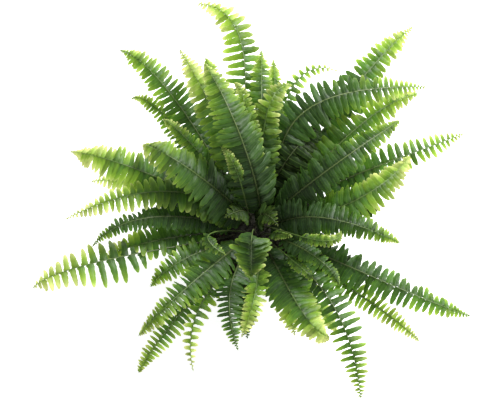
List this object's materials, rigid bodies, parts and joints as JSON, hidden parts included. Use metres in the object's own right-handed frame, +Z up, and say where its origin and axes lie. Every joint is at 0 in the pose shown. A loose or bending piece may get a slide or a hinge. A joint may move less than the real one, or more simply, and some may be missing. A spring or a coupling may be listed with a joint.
{
  "type": "potted fern",
  "caption": "Potted sword fern: arching fronds with paired leaflets rise from a crown in potting soil, in a plain tapered grow pot.",
  "frame": {"origin": "middle of the pot's flat underside", "axes": "+Z up, +Y to the back of the plant, which is the top of the picture, +X to its right"},
  "size_m": [0.671, 0.6309, 0.3799],
  "materials": {
    "pot": "satin moulded plastic, near black",
    "soil": "crumbly dark peat with bark and perlite",
    "crown": "fibrous brown rhizome with chaffy scales",
    "frond": "soft satin leaf, light shines through it",
    "young": "pale green, brown-haired"
  },
  "bodies": {
    "root": {"pot": "pot", "soil": "soil", "crown": "crown", "frond_01": "frond", "frond_02": "frond", "frond_03": "frond", "frond_04": "frond", "frond_05": "frond", "frond_06": "frond", "frond_07": "frond", "frond_08": "frond", "frond_09": "frond", "frond_10": "frond", "frond_11": "frond", "frond_12": "frond", "frond_13": "frond", "frond_14": "frond", "frond_15": "frond", "frond_16": "frond", "frond_17": "frond", "frond_18": "frond", "frond_19": "frond", "frond_20": "frond", "frond_21": "frond", "frond_22": "frond", "frond_23": "frond", "frond_24": "frond", "frond_25": "frond", "frond_26": "frond", "frond_27": "frond", "frond_28": "frond", "frond_29": "frond", "frond_30": "frond", "frond_31": "frond", "frond_32": "frond", "frond_33": "frond", "frond_34": "frond", "frond_35": "frond", "frond_36": "frond", "frond_37": "frond", "frond_38": "frond", "frond_39": "frond", "frond_40": "frond", "frond_41": "frond", "frond_42": "frond", "frond_43": "frond", "frond_44": "frond", "frond_45": "frond", "frond_46": "frond", "frond_47": "frond", "frond_48": "frond", "frond_49": "frond", "frond_50": "frond", "frond_51": "frond", "frond_52": "frond", "frond_53": "frond", "frond_54": "frond", "frond_55": "frond", "fiddlehead_1": "young", "fiddlehead_2": "young"}
  },
  "joints": []
}
